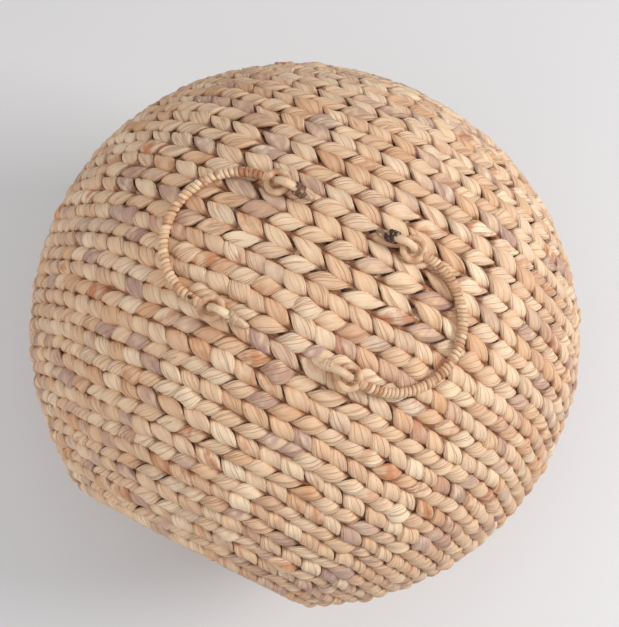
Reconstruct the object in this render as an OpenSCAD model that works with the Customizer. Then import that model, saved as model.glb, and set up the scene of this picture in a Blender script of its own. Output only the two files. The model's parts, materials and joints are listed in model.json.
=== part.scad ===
// Ball-shaped storage basket of woven seagrass, lying on its belly.
// +Z is up, the round mouth faces -Y, and the origin is under the middle of the basket.
// Every band of weave is a ring around one level axis that runs from the mouth to the back.

/* [Basket] */
// Outside radius of the basket at its belly
belly_r = 222; // [200:1:240]
// Depth of the rounded back, as a share of the belly radius
back_share = 0.953; // [0.95:0.001:0.96]
// Angle from the belly to the edge of the mouth, in degrees
mouth_angle = 63.9; // [60:0.1:66]
// How far the belly is pressed flat where it rests
belly_sag = 5; // [3:0.5:6]

/* [Bands] */
// Number of bands of weave from the mouth to the back
row_count = 26; // [26:1:26]
// Thickness of a band, from the outside of the wall to the inside
band_t = 13; // [12:0.5:14]
// Gap between neighbouring bands
band_gap = 0.4; // [0.3:0.1:0.6]
// Radius of the wound button that closes the back
button_r = 12; // [11.5:0.5:13]
// Radius of the twisted cord along the edge of the mouth
rim_cord_r = 3.2; // [3:0.1:3.6]

/* [Inner frame] */
// Radius of the frame's wire
wire_r = 2; // [1.5:0.25:2.5]
// Number of wire ribs from the mouth to the back
rib_count = 6; // [6:1:6]
// Radius of the hoop that gathers the ribs at the back
back_hoop_r = 42; // [36:1:48]

/* [Handles] */
// Distance between the two eyes of a handle
handle_span = 92; // [88:1:96]
// Distance from the turning axis of a handle to its middle line at the grip
handle_reach = 63; // [61:1:66]
// Radius of the bound grip
grip_r = 3.6; // [3.4:0.1:3.8]
// Radius of the cane in the eyes and the wall loops
cane_r = 2.2; // [2:0.1:2.3]
// Radius of an eye, to the middle of its cane
eye_r = 7.2; // [7:0.1:7.6]
// Distance of each turning axis from the middle of the basket, sideways
hinge_x = 41.5; // [40:0.5:46]
// Height of each turning axis above the bands under its eyes
hinge_lift = 4.5; // [4.5:0.1:5]
// Lean of the pair of handles towards the mouth, in degrees
handle_lean = 3.3; // [0:0.1:5]

/* [Hidden] */
$fn = 64;

LEFT = -1;
RIGHT = 1;
FRONT = -1;
BACK = 1;

// The outside profile is three arcs that run into each other: the front half is one circle
// about the middle, the back half a tighter side arc and a flatter crown arc.
side_r = 0.93 * belly_r;
side_x = belly_r - side_r;
back_depth = back_share * belly_r;
crown_r = (side_x ^ 2 + back_depth ^ 2 - side_r ^ 2) / (2 * (back_depth - side_r));
crown_back = crown_r - back_depth;
joint_angle = atan2(crown_back, side_x);

// Lengths of the three arcs along the middle of the bands, and the pitch of the rings on them.
mid_inset = band_t / 2;
front_len = arc_len(belly_r - mid_inset, mouth_angle);
side_len = arc_len(side_r - mid_inset, joint_angle);
crown_len = arc_len(crown_r - mid_inset, 90 - joint_angle);
row_pitch = (front_len + side_len + crown_len - button_r) / row_count;
strip_w = row_pitch - band_gap;
row_cols = ["burlywood", "tan", "wheat", "burlywood", "tan"];

// Where the edge cord lies: just past the rounded edge of the first ring.
rim_angle = -mouth_angle - deg_of(rim_cord_r, belly_r - mid_inset);
rim_at = on_profile(rim_angle, mid_inset);

// The middle of the belly circle stands here, so that the whole basket is centred over the origin.
front_reach = rim_cord_r - rim_at[1];
centre_y = (front_reach - back_depth) / 2;
centre_z = belly_r - belly_sag;

// Inner frame: the ribs lie against the bands and the hoops lie inside the ribs.
wire_gap = 0.2;
rib_inset = band_t + wire_gap + wire_r;
hoop_inset = rib_inset + 2 * wire_r + wire_gap;
mouth_hoop_angle = -mouth_angle + 3;
back_hoop_angle = acos(back_hoop_r / (crown_r - hoop_inset));
rib_over = 2;
rib_steps = 36;
wire_sides = 10;

// Handles, in the frame of the leaning pair, whose origin is the middle of the belly circle.
rest_gap = 0.4;
hinge_rho = sqrt(belly_r ^ 2 - (handle_span / 2) ^ 2) + hinge_lift;
hinge_turn = asin(hinge_x / hinge_rho);
grip_rho = belly_r + grip_r + rest_gap;
corner = acos((hinge_rho ^ 2 + handle_reach ^ 2 - grip_rho ^ 2) / (2 * hinge_rho * handle_reach));
rest_slope = hinge_turn + 90 - corner;
bow_r = handle_span / 2;
bow_x = handle_reach - bow_r;
bore_gap = 0.05;
seat_r = cane_r + 0.1;
seat_len = 3;

// Wall loops: an arch over the eye, one leg inside the eye, one leaning leg behind it.
loop_r = 7;
loop_arc = 130;
leg_depth = 6;
outer_leg = hinge_lift + leg_depth;
lean_leg = (loop_r * sin(loop_arc) + hinge_lift + leg_depth / 2) / -cos(loop_arc);
leg_thinner = 0.05;
hole_gap = 0.2;
knot_cane_r = 2;
knot_from_arc = 5.7;

function arc_len(r, angle) = r * angle * PI / 180;
function deg_of(len, r) = len / r * 180 / PI;

// Point of the profile whose outward normal is turned by angle from the belly, moved inwards by
// inset: [distance from the level axis, distance behind the belly plane].
function on_profile(angle, inset) =
    angle < 0 ? (belly_r - inset) * [cos(angle), sin(angle)]
    : angle < joint_angle ? [side_x, 0] + (side_r - inset) * [cos(angle), sin(angle)]
    : [0, -crown_back] + (crown_r - inset) * [cos(angle), sin(angle)];

// Angle of the normal at a length along the middle of the bands, counted from the mouth.
function angle_at(len) =
    len < front_len ? deg_of(len, belly_r - mid_inset) - mouth_angle
    : len < front_len + side_len ? deg_of(len - front_len, side_r - mid_inset)
    : joint_angle + deg_of(len - front_len - side_len, crown_r - mid_inset);

function row_angle(n) = angle_at((n - 0.5) * row_pitch);

// Turns a shape of revolution about +Z into one about the basket's level axis.
module on_basket_axis() {
    translate([0, centre_y, centre_z]) rotate([-90, 0, 0]) children();
}

// Section of a band: flat, with rounded edges. Its thickness lies along X.
module band_section() {
    edge = (strip_w - band_t) / 2;
    square([band_t, 2 * edge], center = true);
    for (side = [-1, 1]) translate([0, side * edge]) circle(d = band_t);
}

// Everything under the floor, which presses the belly flat.
module under_floor() {
    translate([-belly_r, -belly_r, -belly_r]) cube([2 * belly_r, 2 * belly_r, belly_r]);
}

module row_ring(n) {
    angle = row_angle(n);
    color(row_cols[n % len(row_cols)])
        difference() {
            on_basket_axis()
                rotate_extrude(angle = 360)
                    translate(on_profile(angle, mid_inset)) rotate(angle) band_section();
            under_floor();
            loop_holes();
        }
}

module crown_button() {
    edge = button_r - mid_inset - band_gap;
    color("tan")
        on_basket_axis()
            translate([0, 0, back_depth - mid_inset])
                rotate_extrude(angle = 360) {
                    translate([0, -mid_inset]) square([edge, band_t]);
                    intersection() {
                        translate([edge, 0]) circle(d = band_t);
                        translate([0, -band_t]) square(2 * band_t);
                    }
                }
}

module hoop(angle, inset, r) {
    on_basket_axis()
        rotate_extrude(angle = 360) translate(on_profile(angle, inset)) circle(r);
}

module rim_cord() {
    color("wheat") hoop(rim_angle, mid_inset, rim_cord_r);
}

module mouth_hoop() {
    color("dimgray") hoop(mouth_hoop_angle, hoop_inset, wire_r);
}

module belly_hoop() {
    color("dimgray") hoop(0, hoop_inset, wire_r);
}

module back_hoop() {
    color("dimgray") hoop(back_hoop_angle, hoop_inset, wire_r);
}

// Ring of points around a rib's wire, where the profile's normal is turned by angle.
function wire_ring(angle) =
    let (at = on_profile(angle, rib_inset))
    [for (i = [0:wire_sides - 1])
        let (out = wire_r * cos(i * 360 / wire_sides), across = wire_r * sin(i * 360 / wire_sides))
        [at[0] + out * cos(angle), at[1] + out * sin(angle), across]];

// A rib is one bent wire along the profile, from just past the mouth hoop to the back hoop.
module rib(k) {
    first = mouth_hoop_angle - rib_over / 2;
    last = back_hoop_angle + rib_over;
    points = [for (step = [0:rib_steps]) each wire_ring(first + step * (last - first) / rib_steps)];
    sides = [for (step = [0:rib_steps - 1], i = [0:wire_sides - 1])
        let (base = step * wire_sides, next = (i + 1) % wire_sides)
        [base + i, base + next, base + wire_sides + next, base + wire_sides + i]];
    start_cap = [for (i = [wire_sides - 1:-1:0]) i];
    end_cap = [for (i = [0:wire_sides - 1]) rib_steps * wire_sides + i];
    color("gray")
        translate([0, centre_y, centre_z]) rotate([0, k * 360 / rib_count, 0])
            polyhedron(points, concat(sides, [start_cap, end_cap]), convexity = 6);
}

// Frame of the leaning pair of handles.
module on_top() {
    translate([0, centre_y, centre_z]) rotate([handle_lean, 0, 0]) children();
}

// Turning axis of one handle along Y, with X outwards along the wall and Z away from it.
module at_hinge(side, turn) {
    on_top()
        mirror([side == LEFT ? 1 : 0, 0, 0])
            translate([hinge_x, 0, hinge_rho * cos(hinge_turn)]) rotate([0, turn, 0]) children();
}

module at_rest(side) {
    at_hinge(side, rest_slope) children();
}

// Half circle of the bow, as a rod of radius r that starts and ends square at its two ends.
module bow(r) {
    translate([bow_x, 0, 0]) rotate([0, 0, -90])
        rotate_extrude(angle = 180) translate([bow_r, 0]) circle(r);
}

module handle_core(side) {
    color("peru") at_rest(side) bow(cane_r);
}

module handle_binding(side) {
    color("navajowhite")
        at_rest(side)
            translate([bow_x, 0, 0]) rotate([0, 0, -90])
                rotate_extrude(angle = 180)
                    translate([bow_r, 0]) difference() {
                        circle(grip_r);
                        circle(cane_r + bore_gap);
                    }
}

// Ring of cane with a short neck that butts against the end of the handle's rod, and a straight
// seat on the turning axis, where the ring hangs in its wall loop.
module handle_eye(side, end) {
    color("bisque")
        at_rest(side) translate([0, end * bow_r, 0]) {
            rotate([90, 0, 0]) cylinder(r = seat_r, h = seat_len, center = true);
            translate([eye_r, 0, 0])
                rotate_extrude(angle = 360) translate([eye_r, 0]) circle(cane_r);
            translate([2 * eye_r, 0, 0]) rotate([0, 90, 0]) cylinder(r = cane_r, h = bow_x - 2 * eye_r);
        }
}

// Places a shape at one wall loop: X outwards along the wall, Z away from it, axis along Y.
module at_loop(side, end) {
    at_hinge(side, hinge_turn) translate([0, end * bow_r, 0]) children();
}

// The two straight legs of a loop, of radius r, from the ends of its arch down into the bands.
// The leaning leg is a hair thinner than the arch.
module loop_legs(r) {
    translate([loop_r, 0, -outer_leg]) cylinder(r = r, h = outer_leg);
    translate([loop_r * cos(loop_arc), 0, loop_r * sin(loop_arc)])
        rotate([0, 180 - loop_arc, 0])
            translate([0, 0, -lean_leg]) cylinder(r = r - leg_thinner, h = lean_leg);
}

module wall_loop(side, end) {
    color("bisque")
        at_loop(side, end) {
            loop_legs(cane_r);
            rotate([90, 0, 0]) rotate_extrude(angle = loop_arc) translate([loop_r, 0]) circle(cane_r);
        }
}

module loop_knot(side, end) {
    color("sienna")
        at_loop(side, end)
            translate([loop_r * cos(loop_arc), 0, loop_r * sin(loop_arc)])
                rotate([0, 180 - loop_arc, 0]) translate([0, 0, -knot_from_arc])
                    rotate_extrude(angle = 360)
                        translate([cane_r + knot_cane_r + wire_gap / 2, 0]) circle(knot_cane_r);
}

module loop_holes() {
    for (side = [LEFT, RIGHT], end = [FRONT, BACK]) at_loop(side, end) loop_legs(cane_r + hole_gap);
}

for (n = [1:row_count])
    row_ring(n);
crown_button();
rim_cord();
mouth_hoop();
belly_hoop();
back_hoop();
for (k = [1:rib_count])
    rib(k);
handle_core(LEFT);  // left_core
handle_binding(LEFT);  // left_binding
handle_eye(LEFT, FRONT);  // left_eye_front
handle_eye(LEFT, BACK);  // left_eye_back
handle_core(RIGHT);  // right_core
handle_binding(RIGHT);  // right_binding
handle_eye(RIGHT, FRONT);  // right_eye_front
handle_eye(RIGHT, BACK);  // right_eye_back
wall_loop(LEFT, FRONT);  // wall_loop_left_front
wall_loop(LEFT, BACK);  // wall_loop_left_back
wall_loop(RIGHT, FRONT);  // wall_loop_right_front
wall_loop(RIGHT, BACK);  // wall_loop_right_back
loop_knot(LEFT, FRONT);  // loop_knot_left_front
loop_knot(LEFT, BACK);  // loop_knot_left_back
loop_knot(RIGHT, FRONT);  // loop_knot_right_front
loop_knot(RIGHT, BACK);  // loop_knot_right_back
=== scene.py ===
import json
import math
import random

import bpy
import numpy as np
from mathutils import Matrix, Vector


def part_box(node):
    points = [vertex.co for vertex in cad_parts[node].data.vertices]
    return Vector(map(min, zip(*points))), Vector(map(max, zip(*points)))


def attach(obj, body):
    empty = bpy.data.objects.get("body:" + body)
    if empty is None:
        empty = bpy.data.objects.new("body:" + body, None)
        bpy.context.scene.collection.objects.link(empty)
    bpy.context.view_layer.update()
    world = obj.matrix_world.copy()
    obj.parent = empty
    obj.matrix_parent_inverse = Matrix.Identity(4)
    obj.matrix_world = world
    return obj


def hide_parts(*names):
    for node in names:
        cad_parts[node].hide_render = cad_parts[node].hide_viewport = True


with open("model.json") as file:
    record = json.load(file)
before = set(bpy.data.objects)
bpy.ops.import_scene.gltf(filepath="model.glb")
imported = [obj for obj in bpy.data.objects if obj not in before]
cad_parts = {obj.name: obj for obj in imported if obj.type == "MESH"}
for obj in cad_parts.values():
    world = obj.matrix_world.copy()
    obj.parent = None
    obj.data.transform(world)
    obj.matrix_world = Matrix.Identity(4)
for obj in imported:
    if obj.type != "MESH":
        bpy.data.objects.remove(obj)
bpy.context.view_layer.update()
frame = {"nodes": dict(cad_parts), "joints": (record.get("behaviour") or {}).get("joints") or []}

# ---------------------------------------------------------------------------------------------
# The basket's place. It is a ball that lies on its belly with its mouth towards -Y. The hoop
# round its belly gives the middle of the ball, and the wall stands outside that hoop.
hoop_low, hoop_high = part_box("belly_hoop")
hoop_to_outside = 0.0174
middle = (hoop_low + hoop_high) / 2
belly_r = (hoop_high.x - hoop_low.x) / 2 + hoop_to_outside


# ---------------------------------------------------------------------------------------------
# Camera: a long lens straight above the belly, tilted a little towards the mouth and turned
# so that the mouth faces the lower left.
def camera():
    """Sets the camera, and gives the directions to the right of its view and up in it."""
    distance = 4 * belly_r
    lens = 61.4
    to_mouth = math.radians(11.6)
    to_right = math.radians(2.8)
    roll = math.radians(27.2)
    aim_right = 0.003
    aim_up = 0.0137

    back = Vector((math.sin(to_right), -math.sin(to_mouth), math.cos(to_mouth))).normalized()
    behind = (Vector((0, 1, 0)) - back * back.y).normalized()
    beside = behind.cross(back)
    right = beside * math.cos(roll) + behind * math.sin(roll)
    up = behind * math.cos(roll) - beside * math.sin(roll)
    place = middle + back * distance
    back = (place - middle - right * aim_right - up * aim_up).normalized()
    right = up.cross(back).normalized()
    up = back.cross(right)

    bpy.ops.object.camera_add(location=place)
    eye = bpy.context.object
    eye.rotation_euler = Matrix((right, up, back)).transposed().to_euler()
    eye.data.lens = lens
    bpy.context.scene.camera = eye
    return right, up


view_right, view_up = camera()


# ---------------------------------------------------------------------------------------------
# The wall: 26 bands of dried seagrass, each of two rows that lean opposite ways. In a row two
# strands turn round each other over upright stakes, so that each shows as one plump leaf at
# every second stake. The rows are woven from the back to the mouth, edge to edge.
row_count = 26
band_t = 0.013
mid_inset = band_t / 2
mouth_angle = math.radians(63.9)
button_r = 0.012

# The outside is a ball in front of the belly, and behind it a tighter and then a flatter arc.
back_share = 0.953
side_r = 0.93 * belly_r
side_x = belly_r - side_r
back_depth = back_share * belly_r
crown_r = (side_x ** 2 + back_depth ** 2 - side_r ** 2) / (2 * (back_depth - side_r))
crown_back = crown_r - back_depth
joint_angle = math.atan2(crown_back, side_x)
front_len = (belly_r - mid_inset) * mouth_angle
side_len = (side_r - mid_inset) * joint_angle
crown_len = (crown_r - mid_inset) * (math.pi / 2 - joint_angle)
row_pitch = (front_len + side_len + crown_len - button_r) / row_count

# Stakes are dropped as the rows get shorter, so that they never stand closer than the gap. The
# gap is wide from wide_from on, which is metres behind the belly's widest place.
wide_from = -0.012
wide_stakes = (66, 54, 44, 34, 24, 16, 10, 6)
wide_gap = 0.0175
close_stakes = (92, 80, 66, 52, 44)
close_gap = 0.0143

# A strand swings sideways and lifts over a stake, and crosses its partner between stakes.
swing = 0.0040
lift = 0.0032
arch_power = 0.62
quick_cross = 0.2
tip_half_w = 0.0044
swell_half_w = 0.0017
tip_half_t = 0.0018
swell_half_t = 0.0009
row_sway = 0.0007
row_wobble = 0.0004
leaf_drift = 0.35
grain_shift = 0.037
leaf_steps = 10
leaf_sides = 12
leaf_flatness = 2.8
filler_r = 0.0024
# The gap cords' look: low tone, some rust and no swell, so they take the full painted shade and
# show as dark brown shade between rows.
gap_shade_look = (0.2, 0.1, 0.4, 0.0)
grey_share = 0.2
rusty_share = 0.1
big_share = 0.06


def on_profile(angle, inset):
    """Distance from the level axis and distance behind the belly, under the outside."""
    across, along = math.cos(angle), math.sin(angle)
    if angle < 0:
        return (belly_r - inset) * across, (belly_r - inset) * along
    if angle < joint_angle:
        return side_x + (side_r - inset) * across, (side_r - inset) * along
    return (crown_r - inset) * across, (crown_r - inset) * along - crown_back


def angle_at(length):
    """Angle of the outside's normal at a length along the wall from the mouth."""
    if length < front_len:
        return length / (belly_r - mid_inset) - mouth_angle
    if length < front_len + side_len:
        return (length - front_len) / (side_r - mid_inset)
    return joint_angle + (length - front_len - side_len) / (crown_r - mid_inset)


def unit(vectors):
    """The same directions, each of length 1."""
    return vectors / np.linalg.norm(vectors, axis=1)[:, None]


def tube(path, upward, half_w, half_t, sides, closed=False, squareness=2.3):
    """Points, quads and UV (metres along, metres round) of a flat-oval tube along a path.

    Squareness 2 gives an oval, and more gives it flatter sides.
    """
    count = len(path)
    if closed:
        ahead = np.roll(path, -1, 0) - np.roll(path, 1, 0)
    else:
        ahead = np.gradient(path, axis=0)
    ahead = unit(ahead)
    up = unit(upward - (upward * ahead).sum(1)[:, None] * ahead)
    side = np.cross(ahead, up)
    turn = np.arange(sides) * 2 * math.pi / sides
    power = 2 / squareness
    wide = np.sign(np.cos(turn)) * np.abs(np.cos(turn)) ** power
    tall = np.sign(np.sin(turn)) * np.abs(np.sin(turn)) ** power
    points = (path[:, None] + side[:, None] * (half_w[:, None] * wide)[..., None]
              + up[:, None] * (half_t[:, None] * tall)[..., None]).reshape(-1, 3)

    rings = count if closed else count - 1
    ring, spot = np.divmod(np.arange(rings * sides), sides)
    ring_next, spot_next = (ring + 1) % count, (spot + 1) % sides
    quads = np.stack([ring * sides + spot, ring_next * sides + spot,
                      ring_next * sides + spot_next, ring * sides + spot_next], 1)
    step = np.linalg.norm(np.roll(path, -1, 0) - path, axis=1)
    run = np.concatenate([[0], np.cumsum(step)])
    girth_step = math.pi * (half_w.mean() + half_t.mean()) / sides
    near, far = spot * girth_step, (spot + 1) * girth_step
    uv = np.stack([np.stack([run[ring], near], 1), np.stack([run[ring + 1], near], 1),
                   np.stack([run[ring + 1], far], 1), np.stack([run[ring], far], 1)], 1)
    if not closed:
        corner = np.arange(1, sides - 1, 2)
        cap = np.stack([0 * corner, corner, corner + 1, corner + 2], 1)
        ends = [cap, cap[:, ::-1] + (count - 1) * sides]
        quads = np.concatenate([quads] + ends)
        uv = np.concatenate([uv] + [np.stack([wide[cap], tall[cap]], 2) * half_t.mean()] * 2)
    return points, quads, uv


def mesh_piece(name, parts, finish):
    """One object from parts of (points, quads, uv, colour per point)."""
    first = np.cumsum([0] + [len(part[0]) for part in parts])
    points = np.concatenate([part[0] for part in parts])
    quads = np.concatenate([part[1] + start for part, start in zip(parts, first)])
    mesh = bpy.data.meshes.new(name)
    mesh.from_pydata(points.tolist(), [], quads.tolist())
    uv = np.concatenate([part[2] for part in parts]).reshape(-1)
    mesh.uv_layers.new(name="strand").uv.foreach_set("vector", uv.astype(np.float32))
    colour = np.concatenate([part[3] for part in parts]).reshape(-1)
    leaf = mesh.color_attributes.new("leaf", "FLOAT_COLOR", "POINT")
    leaf.data.foreach_set("color", colour.astype(np.float32))
    mesh.shade_smooth()
    mesh.materials.append(finish)
    made = bpy.data.objects.new(name, mesh)
    bpy.context.collection.objects.link(made)
    return made


def rest_flat(points):
    """Presses what would hang under the floor flat, and leaves the inside of the wall."""
    spread = points[:, 0] ** 2 + (points[:, 1] - middle.y) ** 2
    outer = middle.z - np.sqrt(np.maximum(belly_r ** 2 - spread, 0))
    inner = middle.z - np.sqrt(np.maximum((belly_r - band_t) ** 2 - spread, 0))
    pressed = (outer < 0) & (points[:, 2] < inner)
    height = inner * (points[:, 2] - outer) / np.maximum(inner - outer, 1e-6)
    points[:, 2] = np.where(pressed, np.maximum(height, 0.0), points[:, 2])
    return points


def wander(draw, turn, strength, waves):
    """A smooth wobble round a closed ring."""
    total = np.zeros_like(turn)
    for wave in range(1, waves + 1):
        total += draw.gauss(0, 1) * np.cos(wave * turn + draw.uniform(0, 2 * math.pi))
    return strength * total / math.sqrt(waves)


def stakes_at(length):
    """How many upright stakes a row goes round: fewer and wider apart behind the belly."""
    radius, depth = on_profile(angle_at(length), mid_inset)
    behind = depth > wide_from
    counts, least = (wide_stakes, wide_gap) if behind else (close_stakes, close_gap)
    return next((count for count in counts if 2 * math.pi * radius / count > least), counts[-1])


def twined_row(draw, length, leaning):
    """The two strands of one row, which turn round each other once for each two stakes."""
    angle = angle_at(length)
    radius, depth = on_profile(angle, mid_inset)
    stakes = stakes_at(length)
    turn = np.arange(stakes * leaf_steps) * 2 * math.pi / (stakes * leaf_steps)
    outward = np.stack([np.sin(turn), 0 * turn, np.cos(turn)], 1)
    normal = outward * math.cos(angle) + np.array([0, math.sin(angle), 0])
    backward = outward * -math.sin(angle) + np.array([0, math.cos(angle), 0])
    sway = np.sin(5 * turn + length / 0.06) + np.sin(11 * turn - length / 0.08)
    centre = (np.array(middle) + np.array([0, depth, 0]) + outward * radius
              + backward * (row_sway * sway + wander(draw, turn, row_wobble, 20))[:, None]
              + normal * wander(draw, turn, row_wobble, 12)[:, None])
    drift = 0.5 * np.sin(3 * turn + length / 0.07) + 0.3 * np.sin(7 * turn - length / 0.05)
    drift += wander(draw, turn, leaf_drift, stakes // 3)
    parts = []
    for strand in range(2):
        even = stakes * turn / 2 + strand * math.pi + drift
        phase = even + quick_cross * np.sin(2 * even)
        leaf = np.floor(phase / math.pi).astype(int) % stakes
        swell = np.sin(phase) ** 2
        looks = np.array([leaf_look(draw) for _ in range(stakes)])
        size, rise, stray = looks[leaf, 3], looks[leaf, 4], looks[leaf, 5]
        out, aside = np.sin(phase)[:, None], -leaning * np.cos(phase)[:, None]
        height = lift * np.sign(out) * np.abs(out) ** arch_power
        path = centre + backward * swing * aside + normal * height
        path += (backward * stray[:, None] + normal * rise[:, None]) * swell[:, None]
        upward = normal * out + backward * aside
        half_w = tip_half_w + swell_half_w * size * swell
        half_t = tip_half_t + swell_half_t * size * swell
        points, quads, uv = tube(path, upward, half_w, half_t, leaf_sides, True, leaf_flatness)
        shift = np.repeat(leaf * grain_shift + strand * 0.5, leaf_sides)
        uv[..., 1] += shift[:, None]
        # The fourth value is the swell, which also sets the painted shade where the leaf tucks
        # under.
        colour = np.repeat(np.column_stack([looks[leaf, :3], swell]), leaf_sides, 0)
        parts.append((rest_flat(points), quads, uv, colour))
    return parts


def shade_filler_cord(length):
    """A thin cord inside the wall, where two rows meet, which closes the gaps. Its dark brown is
    painted shade for the gaps.
    """
    steps, sides = 120, 6
    radius, depth = on_profile(angle_at(length), mid_inset)
    turn = np.arange(steps) * 2 * math.pi / steps
    outward = np.stack([np.sin(turn), 0 * turn, np.cos(turn)], 1)
    path = np.array(middle) + np.array([0, depth, 0]) + outward * radius
    thick = np.full(steps, filler_r)
    points, quads, uv = tube(path, outward, thick, thick, sides, True)
    colour = np.tile(gap_shade_look, (steps * sides, 1))
    return rest_flat(points), quads, uv, colour


def leaf_look(draw):
    """Tone, greyness and redness of one leaf, then its size, rise and stray sideways."""
    tone = min(1, max(0, draw.gauss(0.55, 0.17)))
    grey = draw.uniform(0.35, 1) if draw.random() < grey_share else draw.uniform(0, 0.2)
    red = draw.uniform(0.3, 1) if draw.random() < rusty_share else draw.uniform(0, 0.15)
    size, rise = draw.uniform(0.55, 1.45), draw.gauss(0, 0.0005)
    if draw.random() < big_share:
        size, rise = draw.uniform(1.7, 2.3), 0.0007
    return tone, grey, red, size, rise, draw.gauss(0, 0.0006)


class Wire:
    """A shader socket. A sum on Wires adds its Math nodes, so a finish reads as plain maths."""
    def __init__(self, tree, socket=None):
        self.tree = tree
        self.socket = socket

    def node(self, kind, settings=(), sockets=(), out=0):
        made = self.tree.nodes.new(kind)
        for key, value in dict(settings).items():
            setattr(made, key, value)
        for key, value in dict(sockets).items():
            if isinstance(value, Wire):
                self.tree.links.new(value.socket, made.inputs[key])
            else:
                made.inputs[key].default_value = value
        return Wire(self.tree, made.outputs[out])

    def output(self, out):
        """Another output of the node that this one comes from."""
        return Wire(self.tree, self.socket.node.outputs[out])

    def maths(self, operation, *values):
        return self.node("ShaderNodeMath", {"operation": operation}, dict(enumerate(values)))

    def __add__(self, other):
        return self.maths("ADD", self, other)

    def __sub__(self, other):
        return self.maths("SUBTRACT", self, other)

    def __mul__(self, other):
        return self.maths("MULTIPLY", self, other)

    def __radd__(self, other):
        return self.maths("ADD", other, self)

    def __rsub__(self, other):
        return self.maths("SUBTRACT", other, self)

    def __rmul__(self, other):
        return self.maths("MULTIPLY", other, self)

    def between(self, low, high):
        """0 where this is at or under low, 1 where it is at or over high, smooth between."""
        sockets = {"Value": self, "From Min": low, "From Max": high}
        return self.node("ShaderNodeMapRange", {"interpolation_type": "SMOOTHSTEP"}, sockets)

    def mix(self, colour_a, colour_b):
        """colour_a where this is 0, colour_b where it is 1."""
        sockets = {0: self, 6: colour_a, 7: colour_b}
        return self.node("ShaderNodeMix", {"data_type": "RGBA"}, sockets, out=2)

    def scaled(self, *factors):
        """This place, stretched so that a pattern of size 1 repeats this often in a metre."""
        return self.node("ShaderNodeVectorMath", {"operation": "MULTIPLY"}, {0: self, 1: factors})

    def noise(self, scale, detail=2.0, rough=0.5):
        sockets = {"Vector": self, "Scale": scale, "Detail": detail, "Roughness": rough}
        return self.node("ShaderNodeTexNoise", (), sockets)


def paint(red, green, blue):
    """A shader's colour from the numbers that a paint chart gives, 0 to 255."""
    def linear(part):
        part = part / 255
        return part / 12.92 if part <= 0.04045 else ((part + 0.055) / 1.055) ** 2.4
    return (linear(red), linear(green), linear(blue), 1.0)


def material(name, roughness, specular):
    """A new material, its shader, and a Wire to start its nodes from."""
    made = bpy.data.materials.new(name)
    made.use_nodes = True
    shader = made.node_tree.nodes["Principled BSDF"]
    shader.inputs["Roughness"].default_value = roughness
    shader.inputs["Specular IOR Level"].default_value = specular
    return made, shader, Wire(made.node_tree)


def finish_with(shader, wire, colour, height, depth, roughness=None):
    """Gives a shader its colour, its relief (height times depth, in metres) and roughness."""
    wire.tree.links.new(colour.socket, shader.inputs["Base Color"])
    bump = wire.node("ShaderNodeBump", (), {"Height": height, "Distance": depth})
    wire.tree.links.new(bump.socket, shader.inputs["Normal"])
    if roughness is not None:
        wire.tree.links.new(roughness.socket, shader.inputs["Roughness"])


def seagrass():
    """Dried seagrass: long soft creases along each leaf, tan to cream, some mauve or rusty, with
    painted shade in the creases and where each leaf tucks under.
    """
    made, shader, wire = material("seagrass", 0.6, 0.3)
    look = wire.node("ShaderNodeAttribute", {"attribute_name": "leaf"}, out="Color")
    tone = wire.node("ShaderNodeSeparateColor", (), {"Color": look})
    grey, red, swell = tone.output(1), tone.output(2), look.output("Alpha")
    place = wire.node("ShaderNodeUVMap", {"uv_map": "strand"})
    fibres = place.scaled(60, 1500, 1).noise(1.0, 3.0, 0.6)
    folds = place.scaled(34, 260, 1).noise(1.0, 1.0, 0.5)
    lines = place.scaled(10, 330, 1).noise(1.0, 1.0, 0.5)
    crease = 1.0 - wire.maths("ABSOLUTE", lines - 0.5).between(0.0, 0.02)
    blotch = place.scaled(90, 160, 1).noise(1.0, 2.0, 0.6)

    tan, cream = paint(218, 164, 120), paint(248, 223, 190)
    mauve, rust = paint(184, 150, 138), paint(200, 130, 88)
    crease_shade_brown, tucked_shade_brown = paint(160, 98, 60), paint(140, 76, 40)
    colour = (tone * 0.75 + fibres * 0.85 - 0.3).between(0.0, 1.0).mix(tan, cream)
    colour = (grey * blotch.between(0.25, 0.6)).mix(colour, mauve)
    colour = (red * blotch.between(0.4, 0.65)).mix(colour, rust)
    # Painted shade: the creases are darkened to brown where shade falls in their grooves.
    colour = (crease * 0.45).mix(colour, crease_shade_brown)
    # Painted shade: each leaf darkens to brown where its swell is low, where it tucks under its
    # partner.
    colour = ((1.0 - swell.between(0.0, 0.28)) * 0.75).mix(colour, tucked_shade_brown)
    height = fibres * 0.4 + folds * 1.4 - crease * 0.3
    finish_with(shader, wire, colour, height, 0.0011, 0.5 + 0.25 * fibres)
    return made


seagrass_finish = seagrass()
for number in range(1, row_count + 1):
    row_name = f"row_{number:02d}"
    weaver = random.Random(row_name)
    band_parts = (twined_row(weaver, (number - 0.75) * row_pitch, -1)
                  + twined_row(weaver, (number - 0.25) * row_pitch, 1)
                  + [shade_filler_cord((number - 0.5) * row_pitch)])
    if number > 1:
        band_parts.append(shade_filler_cord((number - 1) * row_pitch))
    band = mesh_piece(f"twined_band_{number:02d}", band_parts, seagrass_finish)
    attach(band, "basket")
    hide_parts(row_name)


# ---------------------------------------------------------------------------------------------
# The button at the back pole, where the weaving starts: one seagrass strand wound in a tight
# flat coil on the outside and another on the inside, sewn together through the first row.
coil_outside_inset = 0.0032
coil_inside_inset = 0.0098
coil_half_t = 0.0032


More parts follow.
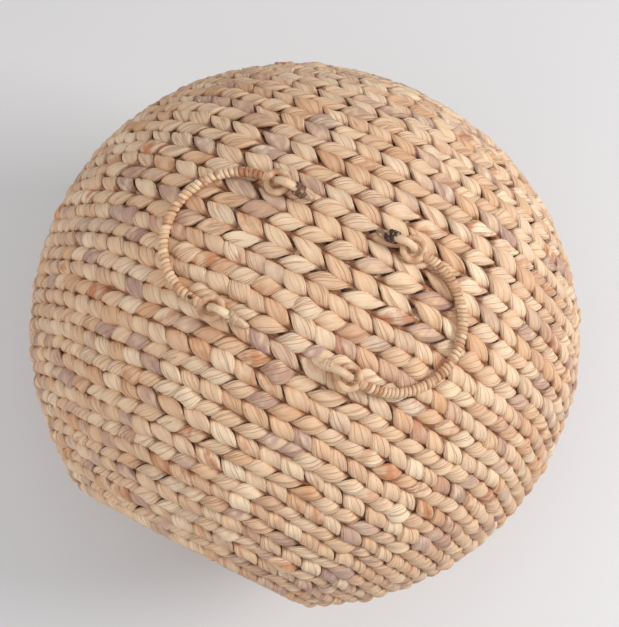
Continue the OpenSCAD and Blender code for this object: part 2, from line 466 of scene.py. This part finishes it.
def flat_coil(draw, inset):
    """One strand wound outwards from the pole, this far under the outside of the wall."""
    turns, steps, sides, half_w = 1.8, 60, 12, 0.0026
    around = np.linspace(0, turns * 2 * math.pi, steps)
    spread = np.linspace(0.0014, button_r - half_w, steps)
    path = np.array(middle) + np.stack([spread * np.sin(around),
                                        back_depth - inset + 0 * around,
                                        spread * np.cos(around)], 1)
    path[:, 1] += wander(draw, around, 0.0003, 5)
    upward = np.tile([0.0, 1.0, 0.0], (steps, 1))
    taper = np.minimum(1, 0.25 + 0.15 * np.minimum(np.arange(steps), np.arange(steps)[::-1]))
    points, quads, uv = tube(path, upward, half_w * taper, coil_half_t * taper, sides)
    tone = 0.5 + wander(draw, around, 0.2, 6)
    colour = np.column_stack([tone, 0 * tone + 0.1, 0 * tone + 0.1, 0 * tone + 1])
    return points, quads, uv, np.repeat(colour, sides, 0)


coiler = random.Random("button")
coils = [flat_coil(coiler, inset) for inset in (coil_outside_inset, coil_inside_inset)]
button = mesh_piece("crown_coil", coils, seagrass_finish)
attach(button, "basket")
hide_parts("crown_button")


# ---------------------------------------------------------------------------------------------
# The cord round the mouth's edge: two thin seagrass strands twisted into a rope and laid
# against the last row, which is sewn to it.
rim_cord_r = 0.0032
rim_angle = -mouth_angle - rim_cord_r / (belly_r - mid_inset)
rim_twists = 44
rim_steps = 16
rim_sides = 10
strand_off = 0.0015
strand_half_w = 0.0024
strand_half_t = 0.0017


def rim_strand(draw, start):
    """One of the two strands of the rope, which starts its first turn at this angle."""
    radius, depth = on_profile(rim_angle, mid_inset)
    turn = np.arange(rim_twists * rim_steps) * 2 * math.pi / (rim_twists * rim_steps)
    outward = np.stack([np.sin(turn), 0 * turn, np.cos(turn)], 1)
    twist = (rim_twists * turn + start + wander(draw, turn, 0.4, 12))[:, None]
    upward = outward * np.cos(twist) + np.array([0, 1, 0]) * np.sin(twist)
    path = np.array(middle) + np.array([0, depth, 0]) + outward * radius + upward * strand_off
    half_w = strand_half_w + wander(draw, turn, 0.00015, 20)
    half_t = np.full(len(turn), strand_half_t)
    points, quads, uv = tube(path, upward, half_w, half_t, rim_sides, closed=True)
    tone = 0.5 + wander(draw, turn, 0.2, 30)
    grey = np.clip(wander(draw, turn, 0.3, 14), 0, 1)
    # The swell also sets a faint painted shade where the two strands twist under each other.
    swell = 0.25 + 0.75 * np.abs(np.sin(2 * rim_twists * turn))
    colour = np.column_stack([tone, grey, 0 * turn + 0.1, swell])
    return points, quads, uv, np.repeat(colour, rim_sides, 0)


roper = random.Random("rim")
rim_rope = mesh_piece("rim_rope", [rim_strand(roper, 0), rim_strand(roper, math.pi)],
                      seagrass_finish)
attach(rim_rope, "basket")
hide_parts("rim_cord")


# ---------------------------------------------------------------------------------------------
# The frame inside: three hoops and six ribs of round steel wire, welded where they cross and
# dipped in dark brown paint, which is worn and a little rusty in places.
def wire_paint():
    """Dark brown paint, thin and rusty in patches, with a fine grit."""
    made, shader, wire = material("brown_wire_paint", 0.45, 0.5)
    place = wire.node("ShaderNodeTexCoord", out="Object")
    patches = place.noise(60.0, 4.0, 0.6)
    specks = place.noise(900.0, 2.0, 0.5)
    rust = (patches * 0.8 + specks * 0.2).between(0.52, 0.62)
    colour = patches.between(0.3, 0.7).mix(paint(62, 46, 38), paint(84, 66, 54))
    colour = (rust * 0.7).mix(colour, paint(122, 74, 46))
    finish_with(shader, wire, colour, specks * 0.6 + rust * 0.4, 0.0002, 0.4 + 0.4 * rust)
    return made


wire_finish = wire_paint()
wire_names = ["mouth_hoop", "belly_hoop", "back_hoop"] + [f"rib_{k}" for k in range(1, 7)]
for name in wire_names:
    frame["nodes"][name].data.materials.clear()
    frame["nodes"][name].data.materials.append(wire_finish)


# ---------------------------------------------------------------------------------------------
# The handles: a rod of cane bent into a half circle and bound all along with split cane, on
# one ring of cane at each end. They turn about a level line through those rings.
bow_r = 0.046
handle_reach = 0.063
bow_x = handle_reach - bow_r
grip_r = 0.0036
cane_r = 0.0022
eye_r = 0.0072
bind_half_t = 0.0011
joints = {joint["name"]: joint for joint in frame["joints"]}


def cane_finish():
    """Split cane: cream, with fine grain along it, brown patches and charred spots."""
    made, shader, wire = material("split_cane", 0.5, 0.4)
    look = wire.node("ShaderNodeAttribute", {"attribute_name": "leaf"}, out="Color")
    tone = wire.node("ShaderNodeSeparateColor", (), {"Color": look})
    brown, char = tone.output(1), tone.output(2)
    place = wire.node("ShaderNodeUVMap", {"uv_map": "strand"})
    grain = place.scaled(90, 2600, 1).noise(1.0, 3.0, 0.6)
    patches = place.scaled(260, 420, 1).noise(1.0, 2.0, 0.6)
    colour = (tone * 0.7 + grain * 0.5 - 0.1).between(0.0, 1.0)
    colour = colour.mix(paint(204, 154, 110), paint(248, 222, 188))
    colour = (patches.between(0.5, 0.68) * 0.45).mix(colour, paint(206, 164, 124))
    colour = (brown * patches.between(0.15, 0.6)).mix(colour, paint(170, 104, 66))
    colour = (char * patches.between(0.3, 0.5)).mix(colour, paint(62, 38, 28))
    finish_with(shader, wire, colour, grain * 0.5 + patches * 0.5, 0.0005, 0.4 + 0.25 * grain)
    return made


def core_finish():
    """The rod under the binding: whole cane, seen only between the turns."""
    made, shader, wire = material("whole_cane", 0.55, 0.35)
    place = wire.node("ShaderNodeTexCoord", out="Object")
    grain = place.noise(700.0, 3.0, 0.6)
    colour = grain.between(0.3, 0.7).mix(paint(170, 122, 82), paint(206, 160, 116))
    finish_with(shader, wire, colour, grain, 0.0003)
    return made


class HingeFrame:
    """Where one handle hangs: x outwards along the wall, y backwards on the axis, z off it."""
    def __init__(self, side, slope):
        joint = joints[f"{side}_handle_swing"]
        self.place = np.array(joint["pos_m"])
        axis = np.array(joint["axis"])
        self.along = axis * math.copysign(1, axis[1])
        beside = np.array([math.copysign(1, self.place[0]), 0, 0])
        above = np.array([0, -self.along[2], self.along[1]])
        self.out = beside * math.cos(slope) - above * math.sin(slope)
        self.off = beside * math.sin(slope) + above * math.cos(slope)

    def at(self, x, y, z):
        """The place at x outwards, y backwards and z off the wall from the hinge."""
        x, y, z = (np.asarray(part, float)[..., None] for part in np.broadcast_arrays(x, y, z))
        return self.place + self.out * x + self.along * y + self.off * z

    def towards(self, x, y, z):
        """The direction with these parts."""
        return self.at(x, y, z) - self.place


# A handle's axis lies hinge_rise over the ball at its eyes, and its grip lies on the wall. They
# give how far the axis is turned from the top of the ball, and how the handle slopes at rest.
hinge_rise = 0.0045
grip_gap = 0.0004
hinge_x = joints["right_handle_swing"]["pos_m"][0]
hinge_rho = math.sqrt(belly_r ** 2 - bow_r ** 2) + hinge_rise
hinge_turn = math.asin(hinge_x / hinge_rho)
grip_rho = belly_r + grip_r + grip_gap
corner = math.acos((hinge_rho ** 2 + handle_reach ** 2 - grip_rho ** 2)
                   / (2 * hinge_rho * handle_reach))
rest_slope = hinge_turn + math.pi / 2 - corner


def cane_colour(count, sides, tone, brown=0.0, char=0.0):
    """The looks of each ring of points of a tube: lighter, browner or more charred."""
    colour = np.column_stack([np.broadcast_to(part, count) for part in (tone, brown, char, 1.0)])
    return np.repeat(colour, sides, 0)


def grip_binding(draw, hinge, turns, brown_turns):
    """One strip of split cane wound turn by turn along the bow, from the front to the back."""
    bind_sink = 0.0001
    steps, sides = 14, 8
    wound = np.linspace(0, turns, turns * steps + 1)
    arc = math.pi * (wound / turns - 0.5)
    uneven = wander(draw, 2 * arc, 0.12, 16)
    spin = 2 * math.pi * (wound + uneven)
    pitch = math.pi * bow_r / turns
    look = np.array([(draw.gauss(0.55, 0.18), draw.random() ** 3 * 0.8, draw.uniform(0.9, 1.1))
                     for _ in range(turns + 1)])[np.floor(wound + 0.5).astype(int)]
    inside, outside = np.cos(spin), np.sin(spin)
    rho = grip_r - bind_half_t - bind_sink + wander(draw, arc, 0.00005, 20)
    bow = hinge.at(bow_x + bow_r * np.cos(arc), bow_r * np.sin(arc), 0)
    upward = hinge.towards(inside * np.cos(arc), inside * np.sin(arc), outside)
    path = bow + upward * rho[:, None]
    half_w = pitch * 0.49 * look[:, 2]
    points, quads, uv = tube(path, upward, half_w, 0 * arc + bind_half_t, sides, squareness=2)
    brown = np.maximum(look[:, 1], (wound > turns - brown_turns) * 0.9)
    return points, quads, uv, cane_colour(len(arc), sides, look[:, 0], brown)


def cut_peg(hinge):
    """The cut end of the left strip, pinned through the first turns at the front."""
    peg_angle, sides = math.radians(-84), 12
    height = np.array([0.0010, 0.0030, 0.0041, 0.0043])
    bow = hinge.at(bow_x + bow_r * math.cos(peg_angle), bow_r * math.sin(peg_angle), 0)
    path = bow + hinge.off * height[:, None]
    thick = np.array([0.0019, 0.0019, 0.0019, 0.0016])
    upward = np.tile(hinge.along, (4, 1))
    points, quads, uv = tube(path, upward, thick, thick * 0.8, sides, squareness=2)
    return points, quads, uv, cane_colour(4, sides, 0.3, 1.0, np.array([0, 0, 0.7, 1.0]))


def cane_ring(draw, hinge, end):
    """The eye: cane bent into a ring, and the short neck that goes into the binding."""
    steps, sides = 48, 12
    turn = np.arange(steps) * 2 * math.pi / steps
    ring_r = eye_r + wander(draw, turn, 0.00012, 3)
    path = hinge.at(eye_r + ring_r * np.cos(turn), end * bow_r + ring_r * np.sin(turn),
                    wander(draw, turn, 0.0001, 3))
    off = np.tile(hinge.off, (steps, 1))
    thick = cane_r + wander(draw, turn, 0.0001, 7)
    ring = tube(path, off, thick, thick, sides, closed=True, squareness=2)
    tone = 0.42 + wander(draw, turn, 0.15, 8)
    brown = np.clip(0.25 + wander(draw, turn, 0.3, 5), 0, 0.8)
    parts = [(*ring, cane_colour(steps, sides, tone, brown))]
    along = np.linspace(2 * eye_r - 0.0012, bow_x + 0.0008, 6)
    neck_r = np.linspace(0.0021, 0.0027, 6)
    neck = tube(hinge.at(along, end * bow_r, 0), off[:6], neck_r, neck_r, sides, squareness=2)
    parts.append((*neck, cane_colour(6, sides, 0.6, 0.3)))
    wrap_pitch, wrap_r = 0.0016, 0.0026
    for wrap in range(2):
        spin = np.linspace(0, 2 * math.pi, 17)[:-1]
        upward = hinge.towards(0, np.cos(spin), np.sin(spin))
        wrap_x = bow_x - wrap_pitch * wrap - 0.0002
        place = hinge.at(wrap_x, end * bow_r, 0) + upward * wrap_r
        band = tube(place, upward, 0 * spin + 0.0010, 0 * spin + 0.0007, 8, closed=True)
        parts.append((*band, cane_colour(16, 8, 0.55, 0.45)))
    return parts


split_cane = cane_finish()
whole_cane = core_finish()
grip_turns = {"left": 43, "right": 52}
reddish_turns = {"left": 5, "right": 0}
for side in ("left", "right"):
    weaver = random.Random(side)
    body = f"{side}_handle"
    rest = HingeFrame(side, rest_slope)
    core = frame["nodes"][f"{side}_core"]
    core.data.materials.clear()
    core.data.materials.append(whole_cane)
    strip = grip_binding(weaver, rest, grip_turns[side], reddish_turns[side])
    strips = [strip, cut_peg(rest)] if side == "left" else [strip]
    binding = mesh_piece(f"{side}_grip_winding", strips, split_cane)
    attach(binding, body)
    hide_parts(f"{side}_binding")
    for end_name, end in (("front", -1), ("back", 1)):
        eye = mesh_piece(f"{side}_cane_ring_{end_name}", cane_ring(weaver, rest, end), split_cane)
        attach(eye, body)
        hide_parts(f"{side}_eye_{end_name}")


# ---------------------------------------------------------------------------------------------
# The wall loops: bent cane that holds each ring of the handles to the wall. One leg goes down
# through the ring into the weave, the other leans back to the wall and is whipped with a strip.
loop_r = 0.007
loop_arc = math.radians(130)
outer_leg = 0.0105
lean_leg = 0.018
loop_cane_r = 0.0027
knot_from_arc = 0.0057


def wall_loop(draw, hinge, end, tone, char):
    """The bent cane itself, thicker than the ring and thinned where it goes into the weave."""
    steps, sides = 20, 12
    arc = np.linspace(0, loop_arc, steps)
    down = np.linspace(-outer_leg, -0.001, 6)
    lean = np.linspace(0.001, lean_leg, 10)
    x = np.concatenate([0 * down + loop_r, loop_r * np.cos(arc),
                        loop_r * math.cos(loop_arc) - lean * math.sin(loop_arc)])
    z = np.concatenate([down, loop_r * np.sin(arc),
                        loop_r * math.sin(loop_arc) + lean * math.cos(loop_arc)])
    count = len(x)
    run = np.linspace(0, 3, count)
    path = hinge.at(x, end * bow_r + wander(draw, run, 0.0001, 3), z)
    upward = np.tile(hinge.along, (count, 1))
    thick = loop_cane_r + wander(draw, run, 0.00012, 5)
    thick[-3:] *= (0.9, 0.75, 0.5)
    points, quads, uv = tube(path, upward, thick, thick, sides, squareness=2)
    darker = np.where(np.arange(count) > count - 9, 0.6 * char, 0.0)
    brown = np.clip(0.1 + wander(draw, run, 0.25, 5), 0, 0.6)
    return points, quads, uv, cane_colour(count, sides, tone, brown, darker)


def whipping(draw, hinge, end, tone, brown, char, bulk):
    """Three tight turns of a strip, bulk metres thick, round the leaning leg."""
    turns, steps, sides = 3, 16, 8
    wound = np.linspace(0, turns, turns * steps + 1)
    spin = 2 * math.pi * wound
    pitch, leg_r, strip_half_w = 0.0022, 0.0026, 0.0014
    lean = knot_from_arc + pitch * (wound - turns / 2)
    leg_x, leg_z = -math.sin(loop_arc), math.cos(loop_arc)
    centre = hinge.at(loop_r * math.cos(loop_arc) + lean * leg_x, end * bow_r,
                      loop_r * math.sin(loop_arc) + lean * leg_z)
    upward = hinge.towards(leg_z * np.cos(spin), np.sin(spin), -leg_x * np.cos(spin))
    path = centre + upward * (leg_r + bulk / 2 + wander(draw, wound, 0.0002, 5))[:, None]
    half_w, half_t = np.full(len(wound), strip_half_w), np.full(len(wound), bulk / 2)
    points, quads, uv = tube(path, upward, half_w, half_t, sides)
    return points, quads, uv, cane_colour(len(wound), sides, tone, brown, char)


# For each loop: its tone, then how brown, how charred and how thick its whipping is.
loop_looks = {
    ("left", "front"): (0.8, 0.35, 0.3, 0.0018), ("left", "back"): (0.6, 0.7, 0.8, 0.0019),
    ("right", "front"): (0.7, 0.25, 0.0, 0.0010), ("right", "back"): (0.65, 0.6, 1.0, 0.0019),
}
for (side, end_name), (tone, brown, char, bulk) in loop_looks.items():
    weaver = random.Random(side + end_name)
    held = HingeFrame(side, hinge_turn)
    end = 1 if end_name == "back" else -1
    corner_name = f"{side}_{end_name}"
    loop = mesh_piece(f"cane_loop_{corner_name}", [wall_loop(weaver, held, end, tone, char)],
                      split_cane)
    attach(loop, "basket")
    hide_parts(f"wall_loop_{corner_name}")
    strip = whipping(weaver, held, end, tone, brown, char, bulk)
    knot = mesh_piece(f"whipping_{corner_name}", [strip], split_cane)
    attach(knot, "basket")
    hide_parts(f"loop_knot_{corner_name}")


# ---------------------------------------------------------------------------------------------
# Floor and light, which are not part of the basket: a plain pale floor, a bright even room, a
# soft window light from the right of the view, and weaker ones from above and from the left.
bpy.ops.object.select_all(action="DESELECT")
bpy.ops.mesh.primitive_plane_add(size=6)
floor = bpy.context.object
floor.name = "floor"
floor_finish, floor_shader, _ = material("floor", 0.9, 0.1)
floor_shader.inputs["Base Color"].default_value = paint(226, 224, 224)
floor.data.materials.append(floor_finish)

room = bpy.data.worlds.new("room")
room.use_nodes = True
room_light = room.node_tree.nodes["Background"]
room_light.inputs["Color"].default_value = (0.95, 0.97, 1.0, 1)
room_light.inputs["Strength"].default_value = 0.5
bpy.context.scene.world = room


def soft_light(name, direction, distance, size, power):
    """A square light, size metres wide, that faces the middle of the basket."""
    bpy.ops.object.light_add(type="AREA", location=middle + direction.normalized() * distance)
    lamp = bpy.context.object
    lamp.name = name
    lamp.data.size = size
    lamp.data.energy = power
    lamp.rotation_euler = direction.to_track_quat("Z", "Y").to_euler()


soft_light("window", view_right * 1.1 + Vector((0, 0, 0.9)), 1.6, 0.6, 15)
soft_light("ceiling", Vector((0, 0, 1)) - view_right * 0.1, 2.0, 1.4, 6)
soft_light("fill", Vector((0, 0, 0.8)) - view_right * 0.9 - view_up * 0.6, 1.7, 1.4, 6)

bpy.context.scene.view_settings.view_transform = "Standard"
